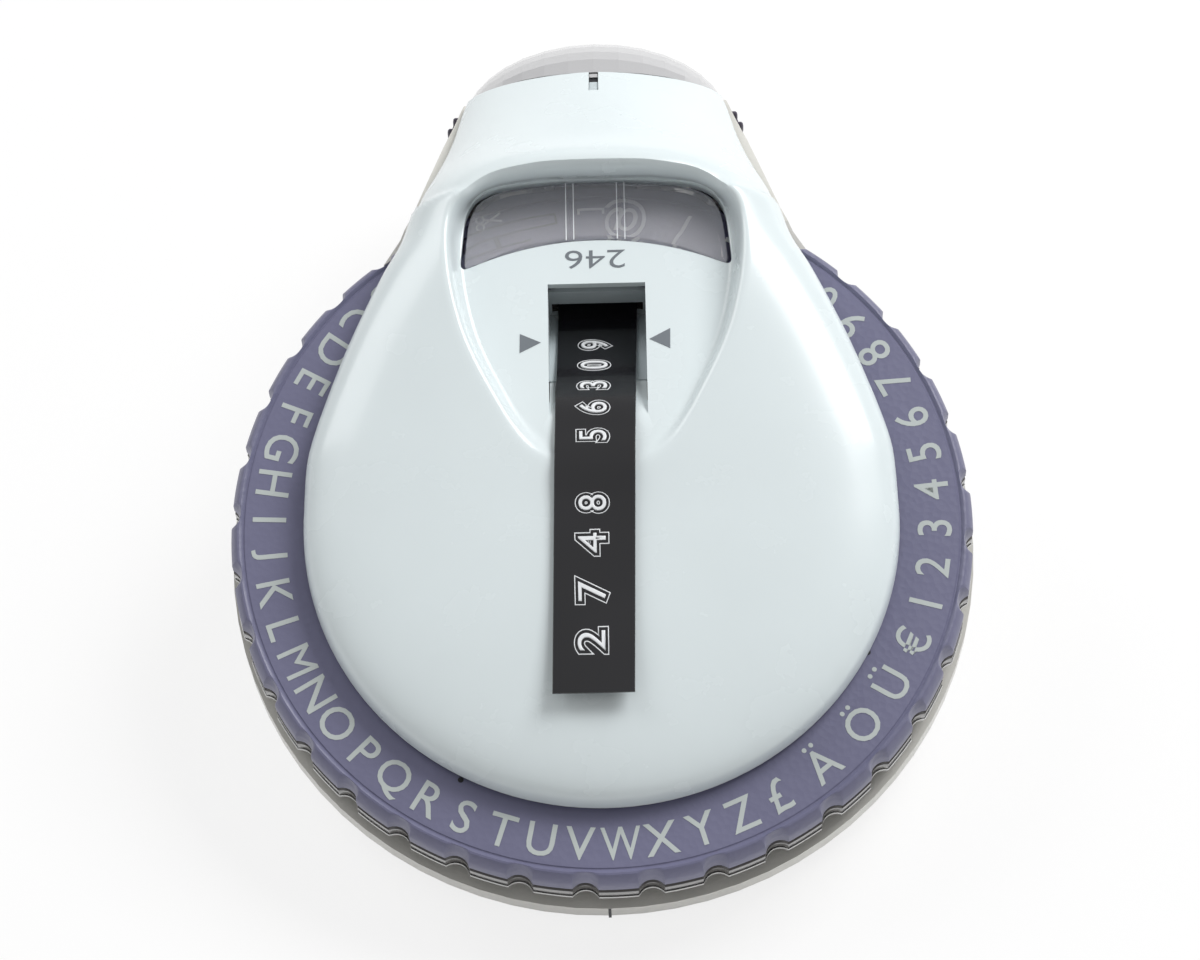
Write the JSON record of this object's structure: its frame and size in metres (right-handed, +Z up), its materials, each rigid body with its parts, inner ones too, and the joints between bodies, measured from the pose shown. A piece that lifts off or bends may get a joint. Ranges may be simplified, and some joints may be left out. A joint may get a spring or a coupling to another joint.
{
  "type": "embossing label maker",
  "caption": "Palm-size embossing label maker with a turning letter dial under a domed press cover, a sloping base and a tape coil behind a rear door.",
  "frame": {"origin": "on the table under the middle of the bounding box", "axes": "+Z up, +Y towards the tail with the tape coil, +X to the right seen from the front"},
  "size_m": [0.0838, 0.1128, 0.0452],
  "materials": {
    "pale_blue_plastic": "gloss",
    "warm_grey_plastic": "satin",
    "purple_plastic": "fine grain",
    "smoked_plastic": "gloss",
    "clear_lens": "clear gloss",
    "milky_door_plastic": "gloss",
    "black_tape": "gloss",
    "dark_plastic": "satin",
    "natural_plastic": "satin",
    "rubber": "matte",
    "steel": "brushed"
  },
  "bodies": {
    "base": {"base_shell": "warm_grey_plastic", "front_foot_left": "rubber", "front_foot_right": "rubber", "rear_foot_left": "rubber", "rear_foot_right": "rubber", "anvil": "steel", "return_spring": "steel", "stop_screw": "steel", "press_pin_left": "steel", "press_pin_right": "steel", "tape_frame": "steel", "coil_spindle": "steel", "pinch_pin": "steel", "door_pin": "steel", "tape_feed": "black_tape"},
    "press_head": {"top_cover": "pale_blue_plastic", "window_lens": "clear_lens", "tape_chute": "natural_plastic", "hub_frame": "natural_plastic", "strike_plate": "steel", "dial_retaining_ring": "steel", "hub_screw_1": "steel", "hub_screw_2": "steel", "hub_screw_3": "steel", "detent_spring": "steel", "pinion_pin": "steel", "tape_strip": "black_tape"},
    "dial": {"letter_dial": "purple_plastic", "lower_die_dial": "smoked_plastic", "cutter_blade": "steel"},
    "pinion": {"sync_pinion": "natural_plastic"},
    "door": {"rear_door": "milky_door_plastic"},
    "left_latch": {"latch_button_left": "dark_plastic"},
    "right_latch": {"latch_button_right": "dark_plastic"},
    "coil": {"tape_coil": "black_tape", "spool_core": "natural_plastic"},
    "feed": {"feed_roller": "rubber", "feed_shaft": "steel", "ratchet_wheel": "natural_plastic"},
    "pinch": {"pinch_roller": "natural_plastic"}
  },
  "joints": [
    {"name": "press_hinge", "type": "hinge", "parent": "base", "child": "press_head", "pos_m": [0, 0.03221, 0.0241], "axis": [1, 0, 0], "range_deg": [0, 1.35], "stiffness_Nm_per_rad": 6, "springref_deg": -3.44, "deforming": ["return_spring"]},
    {"name": "dial_spin", "type": "hinge", "parent": "press_head", "child": "dial", "pos_m": [0, -0.01683, 0.02417], "axis": [0, -0.284, 0.9588], "continuous": true},
    {"name": "pinion_spin", "type": "hinge", "parent": "press_head", "child": "pinion", "pos_m": [0, -0.0407, 0.0171], "axis": [0, -0.284, 0.9588], "continuous": true},
    {"name": "door_hinge", "type": "hinge", "parent": "base", "child": "door", "pos_m": [0, 0.05171, 0.00333], "axis": [1, 0, 0], "range_deg": [-60, 0]},
    {"name": "left_latch_slide", "type": "slide", "parent": "base", "child": "left_latch", "axis": [0.9511, -0.2961, -0.0877], "range_m": [0, 0.001], "stiffness_N_per_m": 300, "springref_m": -0.0005},
    {"name": "right_latch_slide", "type": "slide", "parent": "base", "child": "right_latch", "axis": [-0.9511, -0.2961, -0.0877], "range_m": [0, 0.001], "stiffness_N_per_m": 300, "springref_m": -0.0005},
    {"name": "coil_spin", "type": "hinge", "parent": "base", "child": "coil", "pos_m": [0, 0.03832, 0.01757], "axis": [1, 0, 0], "continuous": true},
    {"name": "feed_spin", "type": "hinge", "parent": "base", "child": "feed", "pos_m": [0, 0.02829, 0.031], "axis": [1, 0, 0], "continuous": true},
    {"name": "pinch_spin", "type": "hinge", "parent": "base", "child": "pinch", "pos_m": [0, 0.02663, 0.0366], "axis": [1, 0, 0], "continuous": true}
  ],
  "couplings": [
    {"joint": "pinion_spin", "follows": "dial_spin", "ratio": 8},
    {"joint": "pinch_spin", "follows": "feed_spin", "ratio": -1.0769},
    {"joint": "coil_spin", "follows": "feed_spin", "ratio": 0.2121}
  ]
}
